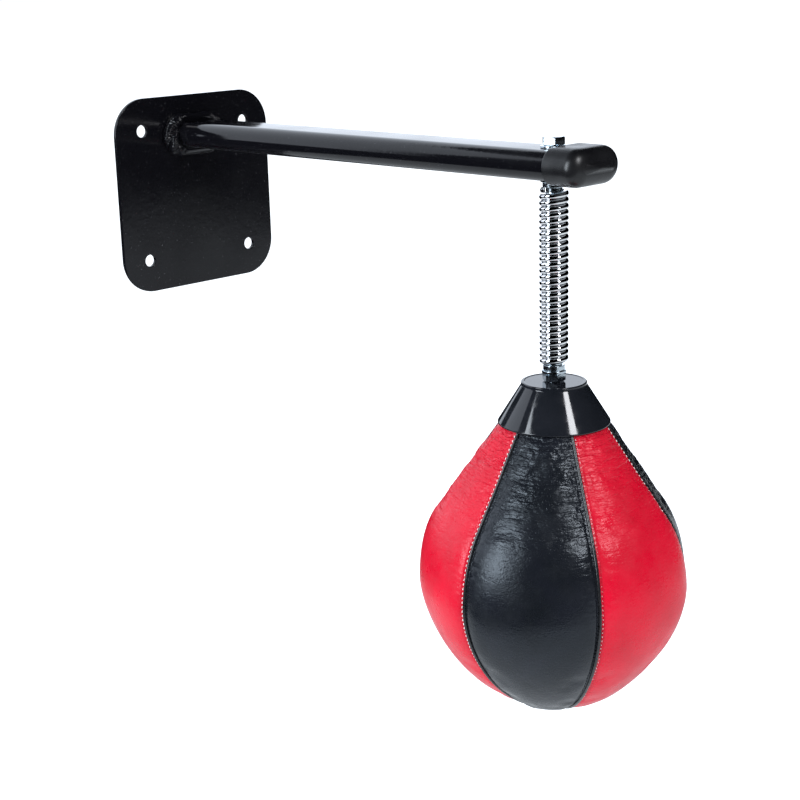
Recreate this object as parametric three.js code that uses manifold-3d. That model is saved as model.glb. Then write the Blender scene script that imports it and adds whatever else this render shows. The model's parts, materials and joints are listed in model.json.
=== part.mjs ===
// Wall-mounted spring-arm speed bag: a steel wall plate, a flat-oval arm welded to it, a close-wound
// coil spring bolted under the arm's end, and an inflated six-panel leather bag under a cone collar.
//
// Millimetres, +Z up. The origin is the middle of the wall plate's back face, the wall is the plane
// Y = 0, and the arm reaches away from the wall along -Y. The bag hangs below the arm's far end.

import * as THREE from 'three';
import { mergeVertices } from 'three/addons/utils/BufferGeometryUtils.js';
import Module from 'manifold-3d';

const wasm = await Module();
wasm.setup();

// ---------------------------------------------------------------------------
// Driving dimensions
// ---------------------------------------------------------------------------

const GAP = 0.3; // clearance left between pieces that touch on the real object

const plate = { width: 200, height: 200, thickness: 4, cornerRadius: 37, bevel: 0.5, holeSpacing: 134, holeDiameter: 12.5 };
const arm = { width: 58, height: 26, wall: 2.5, centreZ: 60, boltY: -492, endY: -521 };
const cap = { wall: 3, sleeveY: -504.5, shoulderY: -529, edgeRadius: 12, dome: 4 };
const weld = { leg: 7, ripple: 0.9, ripples: 19, startLump: 5 };

const bolt = { shankDiameter: 10, acrossFlats: 18, headHeight: 7, clearance: 0.4 };
const washer = { diameter: 23, thickness: 2 };
const studWasher = { diameter: 21.5, thickness: 2.6 };
const plug = { bodyDiameter: 14, bodyLength: 19, bossDiameter: 19, bossHeight: 4.4, bossAcrossFlats: 17 };

const spring = { topZ: 35.5, meanRadius: 10.15, wireRadius: 2.5, pitch: 5.32, turns: 27.3, bends: 8 };

const collar = { topZ: -129.7, bottomZ: -167, topRadius: 28.4, bottomRadius: 49.7, wall: 2.5, disc: 3, rim: 1.4 };

const bag = {
  centreZ: -310, // height of the widest place
  radius: 119,
  depth: 128, // from the widest place down to the tip
  tipPower: 1.71, // 2 would be an ellipse; less makes the lower half more pointed
  shoulderAngle: 33.2, // half angle of the cone above the round part, in degrees
  leather: 2,
  panels: 6,
  pipingRadius: 1.5,
  bladderWall: 1.2,
};

// ---------------------------------------------------------------------------
// Colours and surface finishes
// ---------------------------------------------------------------------------

const finish = (color, roughness, metalness) => new THREE.MeshStandardMaterial({ color, roughness, metalness });

const blackPaint = finish(0x17171c, 0.35, 0.3);
const blackRubber = finish(0x1c1c20, 0.5, 0);
const zinc = finish(0xc9d3da, 0.3, 1);
const chrome = finish(0xe2e4e6, 0.12, 1);
const blackPlastic = finish(0x15171b, 0.2, 0);
const redLeather = finish(0xc8102a, 0.4, 0);
const blackLeather = finish(0x18181b, 0.4, 0);
const bladderRubber = finish(0x3a2c24, 0.6, 0);

// ---------------------------------------------------------------------------
// Solids and booleans
// ---------------------------------------------------------------------------

const group = new THREE.Group();

function addMesh(name, geometry, material) {
  const mesh = new THREE.Mesh(geometry, material);
  mesh.name = name;
  group.add(mesh);
  return mesh;
}

// Only the positions of a geometry, with the vertices that share a place merged.
function closedGeometry(geometry) {
  const bare = geometry.clone();
  bare.deleteAttribute('normal');
  bare.deleteAttribute('uv');
  return mergeVertices(bare, 1e-4);
}

function toManifold(geometry) {
  const closed = closedGeometry(geometry);
  return new wasm.Manifold(
    new wasm.Mesh({
      numProp: 3,
      vertProperties: new Float32Array(closed.attributes.position.array),
      triVerts: new Uint32Array(closed.index.array),
    })
  );
}

function fromManifold(solid) {
  const mesh = solid.getMesh();
  const geometry = new THREE.BufferGeometry();
  geometry.setAttribute('position', new THREE.BufferAttribute(new Float32Array(mesh.vertProperties), 3));
  geometry.setIndex(new THREE.BufferAttribute(new Uint32Array(mesh.triVerts), 1));
  geometry.computeVertexNormals();
  return geometry;
}

const subtract = (body, ...cuts) =>
  fromManifold(cuts.reduce((solid, cut) => solid.subtract(toManifold(cut)), toManifold(body)));

const union = (...parts) => fromManifold(parts.map(toManifold).reduce((solid, part) => solid.add(part)));

// A closed skin over a list of rings of points. Each ring has the same number of points, and the
// two end rings are convex and are closed by a fan around their middle.
function loft(rings) {
  const count = rings[0].length;
  const positions = rings.flat().flatMap((point) => [point.x, point.y, point.z]);
  const index = [];
  for (let i = 0; i < rings.length - 1; i++) {
    for (let j = 0; j < count; j++) {
      const a = i * count + j;
      const b = i * count + ((j + 1) % count);
      index.push(a, b, b + count, a, b + count, a + count);
    }
  }
  for (const [ring, flip] of [[0, true], [rings.length - 1, false]]) {
    const middle = rings[ring].reduce((sum, point) => sum.clone().add(point)).divideScalar(count);
    const centre = positions.length / 3;
    positions.push(middle.x, middle.y, middle.z);
    for (let j = 0; j < count; j++) {
      const a = ring * count + j;
      const b = ring * count + ((j + 1) % count);
      index.push(...(flip ? [b, a, centre] : [a, b, centre]));
    }
  }
  return indexedGeometry(positions, index);
}

// A closed skin over a grid of points that wraps around in both directions.
function wrappedSkin(rows) {
  const count = rows[0].length;
  const positions = rows.flat().flatMap((point) => [point.x, point.y, point.z]);
  const index = [];
  for (let i = 0; i < rows.length; i++) {
    for (let j = 0; j < count; j++) {
      const a = i * count + j;
      const b = i * count + ((j + 1) % count);
      const c = ((i + 1) % rows.length) * count + ((j + 1) % count);
      const d = ((i + 1) % rows.length) * count + j;
      index.push(a, b, c, a, c, d);
    }
  }
  return indexedGeometry(positions, index);
}

function indexedGeometry(positions, index) {
  const geometry = new THREE.BufferGeometry();
  geometry.setAttribute('position', new THREE.Float32BufferAttribute(positions, 3));
  geometry.setIndex(index);
  geometry.computeVertexNormals();
  return geometry;
}

// A solid of revolution about Z, from a closed or axis-to-axis profile of [radius, z] points.
function revolve(profile, segments = 32) {
  const points = profile.map(([radius, z]) => new THREE.Vector2(radius, z));
  return new THREE.LatheGeometry(points, segments).rotateX(Math.PI / 2);
}

// A washer or disc with a bore, lying between two heights.
function ringDisc(outerRadius, innerRadius, topZ, bottomZ, segments = 32) {
  const profile = [[innerRadius, bottomZ], [outerRadius, bottomZ], [outerRadius, topZ], [innerRadius, topZ]];
  return revolve([...profile, profile[0]], segments);
}

// A cylinder about Z, or a hexagonal prism when it has six sides.
function rod(radius, topZ, bottomZ, segments = 24) {
  return new THREE.CylinderGeometry(radius, radius, topZ - bottomZ, segments)
    .rotateX(Math.PI / 2)
    .translate(0, 0, (topZ + bottomZ) / 2);
}

// A hexagonal head or nut with its corners chamfered by a cone, as turned bar stock has.
function hexagon(acrossFlats, topZ, bottomZ, turn = 0) {
  const cornerRadius = acrossFlats / Math.sqrt(3);
  const chamfer = (cornerRadius - acrossFlats / 2) * 0.8;
  const edgeRadius = cornerRadius - chamfer;
  const body = rod(cornerRadius, topZ, bottomZ, 6).rotateZ(turn);
  const turned = revolve(
    [
      [0, bottomZ],
      [edgeRadius + 0.3, bottomZ],
      [cornerRadius + 0.3, bottomZ + chamfer * 0.6],
      [cornerRadius + 0.3, topZ - chamfer * 0.6],
      [edgeRadius + 0.3, topZ],
      [0, topZ],
    ],
    24
  );
  return fromManifold(toManifold(body).intersect(toManifold(turned)));
}

// ---------------------------------------------------------------------------
// Wall plate, weld, arm and end cap
// ---------------------------------------------------------------------------

function roundedSquareShape(width, height, radius) {
  const [x, y] = [width / 2 - radius, height / 2 - radius];
  const shape = new THREE.Shape();
  shape.absarc(x, y, radius, 0, Math.PI / 2);
  shape.absarc(-x, y, radius, Math.PI / 2, Math.PI);
  shape.absarc(-x, -y, radius, Math.PI, Math.PI * 1.5);
  shape.absarc(x, -y, radius, Math.PI * 1.5, Math.PI * 2);
  return shape;
}

function circlePath(x, y, radius) {
  return new THREE.Path().absarc(x, y, radius, 0, Math.PI * 2, true);
}

function wallPlate() {
  const { width, height, thickness, cornerRadius, bevel, holeSpacing, holeDiameter } = plate;
  const shape = roundedSquareShape(width - 2 * bevel, height - 2 * bevel, cornerRadius - bevel);
  for (const x of [-1, 1]) {
    for (const z of [-1, 1]) {
      shape.holes.push(circlePath((x * holeSpacing) / 2, (z * holeSpacing) / 2, holeDiameter / 2 + bevel));
    }
  }
  const settings = {
    depth: thickness - 2 * bevel,
    bevelThickness: bevel,
    bevelSize: bevel,
    bevelSegments: 1,
    curveSegments: 8,
  };
  return new THREE.ExtrudeGeometry(shape, settings).translate(0, 0, bevel).rotateX(Math.PI / 2);
}

// Points around a flat-oval section at one distance from the wall.
function ovalRing(width, height, y, steps = 16) {
  const radius = height / 2;
  const half = width / 2 - radius;
  const ring = [];
  for (const [side, start] of [[1, -Math.PI / 2], [-1, Math.PI / 2]]) {
    for (let i = 0; i <= steps; i++) {
      const angle = start + (Math.PI * i) / steps;
      const x = side * half + radius * Math.cos(angle);
      ring.push(new THREE.Vector3(x, y, arm.centreZ + radius * Math.sin(angle)));
    }
  }
  return ring;
}

function ovalBar(width, height, nearY, farY, steps = 16) {
  return loft([ovalRing(width, height, nearY, steps), ovalRing(width, height, farY, steps)]);
}

function armTube() {
  const { width, height, wall, boltY, endY, centreZ } = arm;
  const nearY = -plate.thickness - GAP;
  const hollow = ovalBar(width - 2 * wall, height - 2 * wall, nearY + 1, endY - 1);
  const boltHole = rod(bolt.shankDiameter / 2 + bolt.clearance, centreZ + height, centreZ - height).translate(0, boltY, 0);
  return subtract(ovalBar(width, height, nearY, endY), hollow, boltHole);
}

// A fillet weld all the way round the arm's foot: rippled, and lumpier on the side where it starts.
function weldBead() {
  const foot = ovalRing(arm.width + 2 * GAP, arm.height + 2 * GAP, -plate.thickness - GAP, 14);
  const middle = new THREE.Vector3(0, -plate.thickness - GAP, arm.centreZ);
  const rows = foot.map((point, i) => {
    const turn = (i / foot.length) * Math.PI * 2;
    const towardsStart = Math.max(0, -point.x / (arm.width / 2)) ** 3;
    const leg = weld.leg + weld.ripple * Math.sin(weld.ripples * turn) + weld.startLump * towardsStart;
    const straight = Math.max(Math.abs(point.x) - (arm.width - arm.height) / 2, 0) * Math.sign(point.x);
    const outward = new THREE.Vector3(straight, 0, point.z - middle.z).normalize();
    const section = [[0, 0], [0, leg], [leg * 0.45, leg * 0.75], [leg * 0.85, leg * 0.4], [leg, 0]];
    return section.map(([out, away]) => point.clone().addScaledVector(outward, out).add(new THREE.Vector3(0, -away, 0)));
  });
  return wrappedSkin(rows);
}

function endCap() {
  const { wall, sleeveY, shoulderY, edgeRadius, dome } = cap;
  const width = arm.width + 2 * (GAP + wall);
  const height = arm.height + 2 * (GAP + wall);
  const rings = [ovalRing(width, height, sleeveY, 12)];
  const edgeSteps = 5;
  for (let i = 0; i <= edgeSteps; i++) {
    const angle = ((Math.PI / 2) * i) / edgeSteps;
    const inset = edgeRadius * (1 - Math.cos(angle));
    rings.push(ovalRing(width - 2 * inset, height - 2 * inset, shoulderY - edgeRadius * Math.sin(angle), 12));
  }
  const flatWidth = width - 2 * edgeRadius;
  const flatHeight = height - 2 * edgeRadius;
  const crown = ovalRing(flatWidth * 0.5, flatHeight * 0.5, shoulderY - edgeRadius - dome, 12);
  const socket = ovalBar(arm.width + 2 * GAP, arm.height + 2 * GAP, sleeveY + 1, arm.endY - GAP, 12);
  return subtract(loft([...rings, crown]), socket);
}

// ---------------------------------------------------------------------------
// Hanger bolt, washers and the plugs that hold the spring's ends
// ---------------------------------------------------------------------------

const armTop = arm.centreZ + arm.height / 2;
const armBottom = arm.centreZ - arm.height / 2;
const springBottomZ = spring.topZ - spring.turns * spring.pitch - 2 * spring.wireRadius;
const boreRadius = bolt.shankDiameter / 2 + bolt.clearance;

// One corner of the bolt's head points half-way between -X and -Y. The others stand a little off it.
const hexTurn = -Math.PI / 4;

const onSpringAxis = (geometry) => geometry.translate(0, arm.boltY, 0);

const topWasherTop = armTop + GAP + washer.thickness;
const lowerWasherBottom = armBottom - GAP - washer.thickness;
const upperBossTop = lowerWasherBottom - GAP;
const lowerBossBottom = springBottomZ - GAP - plug.bossHeight;
const studWasherTop = lowerBossBottom - GAP;
const studWasherBottom = studWasherTop - studWasher.thickness;
const studNutTop = studWasherBottom - GAP;

function hangerBolt() {
  const headBottom = topWasherTop + GAP;
  const head = hexagon(bolt.acrossFlats, headBottom + bolt.headHeight, headBottom, hexTurn);
  const shank = rod(bolt.shankDiameter / 2, headBottom + 1, spring.topZ - plug.bodyLength + 1);
  return onSpringAxis(union(head, shank));
}

function washerBetween(topZ, bottomZ, diameter = washer.diameter) {
  return onSpringAxis(ringDisc(diameter / 2, boreRadius, topZ, bottomZ, 28));
}

// A tapped steel plug: its body fills the spring's end coils and its boss stops them.
function upperSpringPlug() {
  const boss = hexagon(plug.bossAcrossFlats, upperBossTop, spring.topZ + GAP, hexTurn + 0.3);
  const body = rod(plug.bodyDiameter / 2, spring.topZ + GAP + 1, spring.topZ - plug.bodyLength);
  const bore = rod(boreRadius, upperBossTop + 1, spring.topZ - plug.bodyLength - 1);
  return onSpringAxis(subtract(union(boss, body), bore));
}

function lowerSpringPlug() {
  const bossTop = springBottomZ - GAP;
  const boss = rod(plug.bossDiameter / 2, bossTop, lowerBossBottom, 28);
  const body = rod(plug.bodyDiameter / 2, springBottomZ + plug.bodyLength, bossTop - 1);
  const bore = rod(boreRadius, springBottomZ + plug.bodyLength + 1, lowerBossBottom - 1);
  return onSpringAxis(subtract(union(boss, body), bore));
}

// ---------------------------------------------------------------------------
// Spring: one right-handed wire, in lengths that meet at the places where it bends
// ---------------------------------------------------------------------------

class Helix extends THREE.Curve {
  constructor(topZ, bottomZ) {
    super();
    this.topZ = topZ;
    this.bottomZ = bottomZ;
  }

  getPoint(t) {
    const z = this.topZ + (this.bottomZ - this.topZ) * t;
    const angle = ((z - spring.topZ) / spring.pitch) * Math.PI * 2;
    const { meanRadius } = spring;
    return new THREE.Vector3(meanRadius * Math.cos(angle), meanRadius * Math.sin(angle), z);
  }
}

const stepsPerTurn = 14;
const wireSection = new THREE.Shape().absarc(0, 0, spring.wireRadius, 0, Math.PI * 2);

function wireLength(topZ, bottomZ) {
  const steps = Math.round(((topZ - bottomZ) / spring.pitch) * stepsPerTurn);
  const settings = { extrudePath: new Helix(topZ, bottomZ), steps, curveSegments: 3, bevelEnabled: false };
  return onSpringAxis(new THREE.ExtrudeGeometry(wireSection, settings));
}

// Heights at which the spring's centreline bends, evenly spread between the two plugs.
const bendTopZ = spring.topZ - plug.bodyLength;
const bendBottomZ = springBottomZ + plug.bodyLength;
const bendSpacing = (bendTopZ - bendBottomZ) / spring.bends;
const bendHeights = Array.from({ length: spring.bends }, (_, i) => bendTopZ - bendSpacing * (i + 0.5));

function addSpring() {
  const wireTop = spring.topZ - spring.wireRadius;
  const wireBottom = springBottomZ + spring.wireRadius;
  const cutHeights = [wireTop, ...bendHeights, wireBottom];
  const endGap = GAP * 0.05; // along Z; the wire is nearly level, so its ends stay GAP apart
  for (let i = 0; i <= spring.bends; i++) {
    const top = i === 0 ? wireTop : cutHeights[i] - endGap;
    const bottom = i === spring.bends ? wireBottom : cutHeights[i + 1] + endGap;
    const name = { 0: 'spring_top_coils', [spring.bends]: 'spring_bottom_coils' }[i] ?? `spring_coils_${i}`;
    addMesh(name, wireLength(top, bottom), chrome);
  }
}

// ---------------------------------------------------------------------------
// Collar and the fasteners inside it
// ---------------------------------------------------------------------------

const collarSlope = (collar.bottomRadius - collar.topRadius) / (collar.topZ - collar.bottomZ);
const collarRadiusAt = (z) => collar.topRadius + (collar.topZ - z) * collarSlope;
const discBottomZ = collar.topZ - collar.disc;
const innerWasher = { topZ: discBottomZ - GAP, thickness: 2.5, radius: 21 };
const neckFlange = { topZ: innerWasher.topZ - innerWasher.thickness - GAP, innerRadius: 13 };
const neckDisc = { topZ: neckFlange.topZ - bag.leather - GAP, thickness: 3, radius: 22 };
const lockNut = { topZ: neckDisc.topZ - neckDisc.thickness - GAP, height: 6, acrossFlats: 17 };
const lockNutBottom = lockNut.topZ - lockNut.height;

function bagCollar() {
  const { topZ, bottomZ, topRadius, bottomRadius, wall, rim } = collar;
  const rimTurn = rim * 0.3;
  const profile = [
    [boreRadius, topZ],
    [boreRadius, discBottomZ],
    [collarRadiusAt(discBottomZ) - wall, discBottomZ],
    [bottomRadius - wall + 0.4, bottomZ],
    [bottomRadius - 0.3, bottomZ],
    [bottomRadius, bottomZ + 0.8],
    [collarRadiusAt(topZ - rim), topZ - rim],
    [topRadius - rimTurn, topZ - rimTurn],
    [topRadius - rim, topZ],
  ];
  return onSpringAxis(revolve([...profile, profile[0]], 48));
}

function collarStud() {
  const topZ = springBottomZ + plug.bodyLength - 1;
  return onSpringAxis(rod(bolt.shankDiameter / 2, topZ, lockNutBottom - 2));
}

function hexNut(acrossFlats, topZ, bottomZ, turn) {
  return onSpringAxis(subtract(hexagon(acrossFlats, topZ, bottomZ, turn), rod(boreRadius, topZ + 1, bottomZ - 1)));
}

// ---------------------------------------------------------------------------
// Bag: six leather panels, six piped seams, the bladder and its valve
// ---------------------------------------------------------------------------

const radians = (degrees) => (degrees * Math.PI) / 180;

// Outer profile of the round part and the tip, from the cone's foot down to a given radius.
function roundProfile(inset, tipRadius, upperSteps, lowerSteps) {
  const shoulder = radians(bag.shoulderAngle);
  const [radius, depth] = [bag.radius - inset, bag.depth - inset];
  const points = [];
  for (let i = 0; i < upperSteps; i++) {
    const angle = shoulder * (1 - i / upperSteps);
    points.push([radius * Math.cos(angle), bag.centreZ + radius * Math.sin(angle)]);
  }
  const tipAngle = Math.acos((tipRadius / radius) ** (bag.tipPower / 2));
  for (let i = 0; i <= lowerSteps; i++) {
    const angle = (tipAngle * i) / lowerSteps;
    const drop = depth * Math.sin(angle) ** (2 / bag.tipPower);
    points.push([radius * Math.cos(angle) ** (2 / bag.tipPower), bag.centreZ - drop]);
  }
  return points;
}

// The cone that touches the round part at the shoulder angle, at any height above it.
function coneRadiusAt(z, inset = 0) {
  const shoulder = radians(bag.shoulderAngle);
  const radius = bag.radius - inset;
  return radius * Math.cos(shoulder) - (z - bag.centreZ - radius * Math.sin(shoulder)) * Math.tan(shoulder);
}

const belowCollarZ = collar.bottomZ - 3;
const pipingEndRadius = 13;

// The leather's outer profile: flange under the collar's disc, neck inside the collar, then the bag.
function panelProfile() {
  const neckInset = collar.wall + 1.4;
  const neckTopZ = neckFlange.topZ - 1;
  return [
    [neckFlange.innerRadius, neckFlange.topZ],
    [collarRadiusAt(neckTopZ) - neckInset - 1, neckFlange.topZ],
    [collarRadiusAt(neckTopZ - 2) - neckInset, neckTopZ - 2],
    [collar.bottomRadius - neckInset, collar.bottomZ + 0.5],
    [coneRadiusAt(belowCollarZ), belowCollarZ],
    [coneRadiusAt(belowCollarZ - 38), belowCollarZ - 38],
    ...roundProfile(0, 1, 3, 9),
  ];
}

// The same profile moved inwards by the leather's thickness, square to the surface.
function insetProfile(profile, distance) {
  return profile.map(([radius, z], i) => {
    const before = profile[Math.max(i - 1, 0)];
    const after = profile[Math.min(i + 1, profile.length - 1)];
    const along = new THREE.Vector2(after[0] - before[0], after[1] - before[1]).normalize();
    return [Math.max(radius + along.y * distance, 0.6), z - along.x * distance];
  });
}

// Half of the gap between two panels: wide beside the piping, narrow in the neck and at the tip.
function seamHalfGap(radius, z) {
  const beside = bag.pipingRadius + 0.4;
  const closed = 0.2;
  if (z > collar.bottomZ) return closed;
  return THREE.MathUtils.clamp(THREE.MathUtils.mapLinear(radius, 8, pipingEndRadius - 2, closed, beside), closed, beside);
}

function leatherPanel(middleAngle) {
  const columns = 5;
  const outer = panelProfile();
  const inner = insetProfile(outer, bag.leather);
  const halfPanel = Math.PI / bag.panels;
  const rowAt = ([radius, z], gap) => {
    const half = halfPanel - Math.asin(Math.min(gap / radius, Math.sin(halfPanel * 0.6)));
    return Array.from({ length: columns + 1 }, (_, j) => {
      const angle = middleAngle + half * ((2 * j) / columns - 1);
      return new THREE.Vector3(radius * Math.cos(angle), radius * Math.sin(angle), z);
    });
  };
  const rings = outer.map((point, i) => {
    const gap = seamHalfGap(...point);
    return [...rowAt(point, gap), ...rowAt(inner[i], gap).reverse()];
  });
  return onSpringAxis(stripLoft(rings, columns + 1));
}

// A loft whose rings are thin strips: an outer row and the inner row behind it. Its two ends are
// closed by a band of quads between the rows.
function stripLoft(rings, rowLength) {
  const count = rings[0].length;
  const positions = rings.flat().flatMap((point) => [point.x, point.y, point.z]);
  const index = [];
  for (let i = 0; i < rings.length - 1; i++) {
    for (let j = 0; j < count; j++) {
      const a = i * count + j;
      const b = i * count + ((j + 1) % count);
      index.push(a, a + count, b + count, a, b + count, b);
    }
  }
  for (const [ring, flip] of [[0, false], [rings.length - 1, true]]) {
    for (let j = 0; j < rowLength - 1; j++) {
      const corners = [j, j + 1, count - 2 - j, count - 1 - j].map((k) => ring * count + k);
      const [a, b, c, d] = flip ? corners.reverse() : corners;
      index.push(a, b, c, a, c, d);
    }
  }
  return indexedGeometry(positions, index);
}

// A round cord along the seam between two panels, standing a little proud of the leather.
function seamPiping(angle) {
  const sunk = 0.5;
  const startZ = belowCollarZ - 1;
  const profile = [[coneRadiusAt(startZ), startZ], ...roundProfile(0, pipingEndRadius, 3, 8)];
  const points = insetProfile(profile, sunk).map(
    ([radius, z]) => new THREE.Vector3(radius * Math.cos(angle), radius * Math.sin(angle), z)
  );
  const section = new THREE.Shape().absarc(0, 0, bag.pipingRadius, 0, Math.PI * 2);
  const settings = { extrudePath: new THREE.CatmullRomCurve3(points), steps: 18, curveSegments: 3, bevelEnabled: false };
  return onSpringAxis(new THREE.ExtrudeGeometry(section, settings));
}

const bladder = { inset: bag.leather + 1.2, mouthRadius: 9, mouthZ: lockNutBottom - 6 };

function bagBladder() {
  const topZ = bladder.mouthZ;
  const outer = [
    [0, bag.centreZ - (bag.depth - bladder.inset)],
    ...roundProfile(bladder.inset, 6, 3, 7).reverse(),
    [coneRadiusAt(belowCollarZ, bladder.inset) - 1, belowCollarZ],
    [coneRadiusAt(topZ, bladder.inset) - 5, topZ - 4],
    [bladder.mouthRadius + bag.bladderWall, topZ],
  ];
  const innerInset = bladder.inset + bag.bladderWall;
  const inner = [
    [bladder.mouthRadius, topZ],
    [coneRadiusAt(topZ, innerInset) - 6, topZ - 4 - bag.bladderWall],
    [coneRadiusAt(belowCollarZ, innerInset) - 1, belowCollarZ],
    ...roundProfile(innerInset, 6, 3, 7),
    [0, bag.centreZ - (bag.depth - innerInset)],
  ];
  return onSpringAxis(revolve([...outer, ...inner], 20));
}

// A rubber plug in the bladder's mouth, with the small hole that the pump needle goes through.
function bladderValve() {
  const topZ = bladder.mouthZ + 2;
  const flangeRadius = bladder.mouthRadius - GAP;
  const profile = [
    [1, topZ - 14],
    [5, topZ - 14],
    [6, topZ - 5],
    [flangeRadius, topZ - 4],
    [flangeRadius, topZ],
    [1, topZ],
  ];
  return onSpringAxis(revolve([...profile, profile[0]], 24));
}

function addBag() {
  const panelAngle = (Math.PI * 2) / bag.panels;
  // The middle of the first black panel faces roughly half-way between -X and -Y.
  const firstPanel = radians(208.5);
  for (let i = 0; i < bag.panels; i++) {
    const black = i % 2 === 0;
    const angle = firstPanel + i * panelAngle;
    const name = `${black ? 'black' : 'red'}_panel_${Math.floor(i / 2) + 1}`;
    addMesh(name, leatherPanel(angle), black ? blackLeather : redLeather);
    addMesh(`seam_piping_${i + 1}`, seamPiping(angle + panelAngle / 2), blackLeather);
  }
  addMesh('bag_bladder', bagBladder(), bladderRubber);
  addMesh('bladder_valve', bladderValve(), bladderRubber);
}

// ---------------------------------------------------------------------------
// Assembly
// ---------------------------------------------------------------------------

addMesh('wall_plate', wallPlate(), blackPaint);
addMesh('arm_weld_bead', weldBead(), blackPaint);
addMesh('arm_tube', armTube(), blackPaint);
addMesh('arm_end_cap', endCap(), blackRubber);

addMesh('hanger_bolt', hangerBolt(), zinc);
addMesh('hanger_top_washer', washerBetween(topWasherTop, armTop + GAP), zinc);
addMesh('hanger_lower_washer', washerBetween(armBottom - GAP, lowerWasherBottom), zinc);
addMesh('upper_spring_plug', upperSpringPlug(), zinc);
addSpring();
addMesh('lower_spring_plug', lowerSpringPlug(), zinc);
addMesh('collar_stud', collarStud(), zinc);
addMesh('collar_top_washer', washerBetween(studWasherTop, studWasherBottom, studWasher.diameter), zinc);
addMesh('collar_nut', hexNut(bolt.acrossFlats, studNutTop, collar.topZ + GAP, hexTurn + 0.2), zinc);

addMesh('bag_collar', bagCollar(), blackPlastic);
addMesh(
  'collar_inner_washer',
  washerBetween(innerWasher.topZ, innerWasher.topZ - innerWasher.thickness, innerWasher.radius * 2),
  zinc
);
addMesh('neck_clamp_disc', washerBetween(neckDisc.topZ, neckDisc.topZ - neckDisc.thickness, neckDisc.radius * 2), zinc);
addMesh('neck_lock_nut', hexNut(lockNut.acrossFlats, lockNut.topZ, lockNutBottom, 0), zinc);
addBag();

export default group;
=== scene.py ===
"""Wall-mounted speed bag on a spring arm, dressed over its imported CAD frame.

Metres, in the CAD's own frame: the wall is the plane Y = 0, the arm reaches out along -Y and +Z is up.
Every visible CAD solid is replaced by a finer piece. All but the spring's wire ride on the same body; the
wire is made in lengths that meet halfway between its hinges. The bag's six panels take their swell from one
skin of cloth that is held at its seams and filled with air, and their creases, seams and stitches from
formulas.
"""

import json
import math

import bmesh
import bpy
import numpy as np
from mathutils import Matrix, Vector, noise

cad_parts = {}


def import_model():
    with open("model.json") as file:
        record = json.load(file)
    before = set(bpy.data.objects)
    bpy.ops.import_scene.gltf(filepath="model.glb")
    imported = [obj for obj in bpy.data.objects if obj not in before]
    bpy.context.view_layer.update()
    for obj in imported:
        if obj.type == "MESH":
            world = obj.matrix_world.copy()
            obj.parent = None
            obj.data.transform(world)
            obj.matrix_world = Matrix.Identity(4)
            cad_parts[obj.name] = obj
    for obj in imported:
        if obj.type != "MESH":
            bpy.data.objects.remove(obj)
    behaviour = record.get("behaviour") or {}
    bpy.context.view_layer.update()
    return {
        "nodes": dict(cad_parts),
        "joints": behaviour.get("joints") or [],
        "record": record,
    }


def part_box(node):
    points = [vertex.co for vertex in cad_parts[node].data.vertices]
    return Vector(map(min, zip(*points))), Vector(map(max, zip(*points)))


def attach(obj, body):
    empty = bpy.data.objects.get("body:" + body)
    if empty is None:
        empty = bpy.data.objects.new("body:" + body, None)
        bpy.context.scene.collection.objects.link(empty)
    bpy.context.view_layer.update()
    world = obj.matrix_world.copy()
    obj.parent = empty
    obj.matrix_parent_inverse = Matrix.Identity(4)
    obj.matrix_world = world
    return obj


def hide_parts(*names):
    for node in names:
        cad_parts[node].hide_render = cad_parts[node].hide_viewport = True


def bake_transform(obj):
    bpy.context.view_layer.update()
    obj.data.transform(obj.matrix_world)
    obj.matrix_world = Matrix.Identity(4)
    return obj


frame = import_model()

MM = 0.001
TAU = 2 * math.pi

# ---- Sizes and other driving values ----

plate_low, plate_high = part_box("wall_plate")
tube_low, tube_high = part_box("arm_tube")
cap_low, cap_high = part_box("arm_end_cap")
collar_low, collar_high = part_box("bag_collar")
panel_boxes = [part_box(f"{colour}_panel_{i}") for colour in ("black", "red") for i in (1, 2, 3)]

AXIS = Vector((0, (collar_low.y + collar_high.y) / 2, 0))  # the spring and bag hang on this line
ARM_Z = (tube_low.z + tube_high.z) / 2
BORE = 5.4 * MM  # radius of the holes that the bolt and the stud go through
ACROSS_FLATS = 18 * MM  # of the bolt's head and the collar's nut

SPRING_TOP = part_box("spring_top_coils")[1].z
SPRING_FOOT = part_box("spring_bottom_coils")[0].z
PITCH = 5.32 * MM
WIRE_RADIUS = 2.55 * MM
COIL_RADIUS = 10.15 * MM

COLLAR_FOOT = collar_low.z
COLLAR_FOOT_RADIUS = (collar_high.x - collar_low.x) / 2

BAG_TOP = max(high.z for _, high in panel_boxes)
BAG_TIP = min(low.z for low, _ in panel_boxes)
BAG_CENTRE = BAG_TIP + 128 * MM  # height of the widest place
BAG_RADIUS = 119 * MM
SHOULDER = math.radians(33.2)  # half angle of the cone above the round part
SHOULDER_Z = BAG_CENTRE + BAG_RADIUS * math.sin(SHOULDER)
TIP_POWER = 1.71  # 2 would be an ellipse; less makes the lower half more pointed
FIRST_PANEL = math.radians(208.5)  # middle of the first black panel
PANEL_COUNT = 6
PANEL_ANGLE = TAU / PANEL_COUNT
LEATHER = 2 * MM
SEAM_HALF_GAP = 1.1 * MM
STITCH_PITCH = 4.2 * MM
STITCH_SIDES = 8

ROWS = 250  # down the bag, from the flange inside the collar to the tip
PANEL_COLUMNS = 72
INNER_STEP = 8  # the hidden side has one column for this many outside
CLOTH_ROWS = 60
CLOTH_STEPS = 14  # cloth cells across a panel
CLOTH_FRAMES = 20
HELD_TIP_RADIUS = 22 * MM
MOST_SWELL = 6 * MM

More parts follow.
